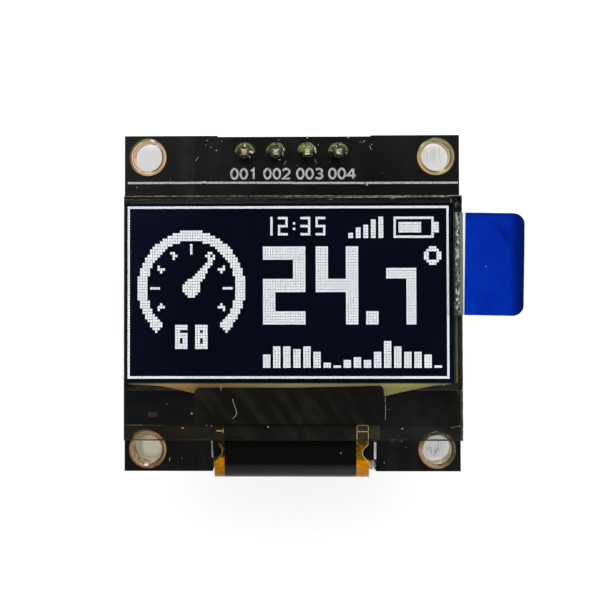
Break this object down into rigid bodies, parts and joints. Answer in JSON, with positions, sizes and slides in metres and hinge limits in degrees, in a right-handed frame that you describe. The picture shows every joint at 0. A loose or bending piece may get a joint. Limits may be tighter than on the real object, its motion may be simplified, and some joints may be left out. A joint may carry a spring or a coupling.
{
  "type": "small oled module",
  "caption": "Small square OLED display module: glass panel taped to a black circuit board, flex circuit folded behind through a notch, pin header along one edge.",
  "frame": {"origin": "centre of the four corner holes on the board's front face", "axes": "+Z out of the screen, +Y from the flex edge to the header edge, +X to the right seen from the front"},
  "size_m": [0.032, 0.0277, 0.0123],
  "materials": {
    "board": "black solder mask with a soft gloss",
    "header_plastic": "moulded, matte",
    "foam": "matte closed-cell foam",
    "cap_glass": "ground rear glass",
    "desiccant": "matte",
    "sealant": "cured resin",
    "pixels": "dark film with lit white dots",
    "clear_glass": "polished",
    "polarizer": "smooth tinted sheet",
    "clear_film": "clear, lightly marked",
    "blue_film": "glossy film",
    "silicon": "bare silicon",
    "black_tape": "satin tape",
    "flex": "amber polyimide with black cover film",
    "solder": "bright solder",
    "gold_plating": "pale gold plating",
    "pin_metal": "gold flash",
    "moulded_black": "moulded epoxy",
    "tinned_lead": "tinned",
    "chip_tan": "fired ceramic with tinned ends",
    "chip_black": "glazed ceramic with tinned ends"
  },
  "bodies": {
    "root": {"pcb": "board", "header_strip": "header_plastic", "foam_tape": "foam", "cap_glass": "cap_glass", "desiccant_sheet": "desiccant", "seal_frame": "sealant", "pixel_layer": "pixels", "substrate_glass": "clear_glass", "polarizer": "polarizer", "protective_film": "clear_film", "pull_tab": "blue_film", "driver_chip": "silicon", "ledge_tape": "black_tape", "flex_circuit": "flex", "flex_solder": "solder", "regulator_body": "moulded_black", "regulator_leads": "tinned_lead", "diode_body": "moulded_black", "diode_leads": "tinned_lead", "chip_solder": "solder", "hole_plating_1": "gold_plating", "hole_plating_2": "gold_plating", "hole_plating_3": "gold_plating", "hole_plating_4": "gold_plating", "header_pin_1": "pin_metal", "header_pin_2": "pin_metal", "header_pin_3": "pin_metal", "header_pin_4": "pin_metal", "solder_joint_1": "solder", "solder_joint_2": "solder", "solder_joint_3": "solder", "solder_joint_4": "solder", "capacitor_1": "chip_tan", "capacitor_2": "chip_tan", "capacitor_3": "chip_tan", "capacitor_4": "chip_tan", "capacitor_5": "chip_tan", "capacitor_6": "chip_tan", "capacitor_7": "chip_tan", "capacitor_8": "chip_tan", "resistor_1": "chip_black", "resistor_2": "chip_black", "resistor_3": "chip_black", "resistor_4": "chip_black", "resistor_5": "chip_black", "resistor_6": "chip_black", "resistor_7": "chip_black", "resistor_8": "chip_black"}
  },
  "joints": []
}
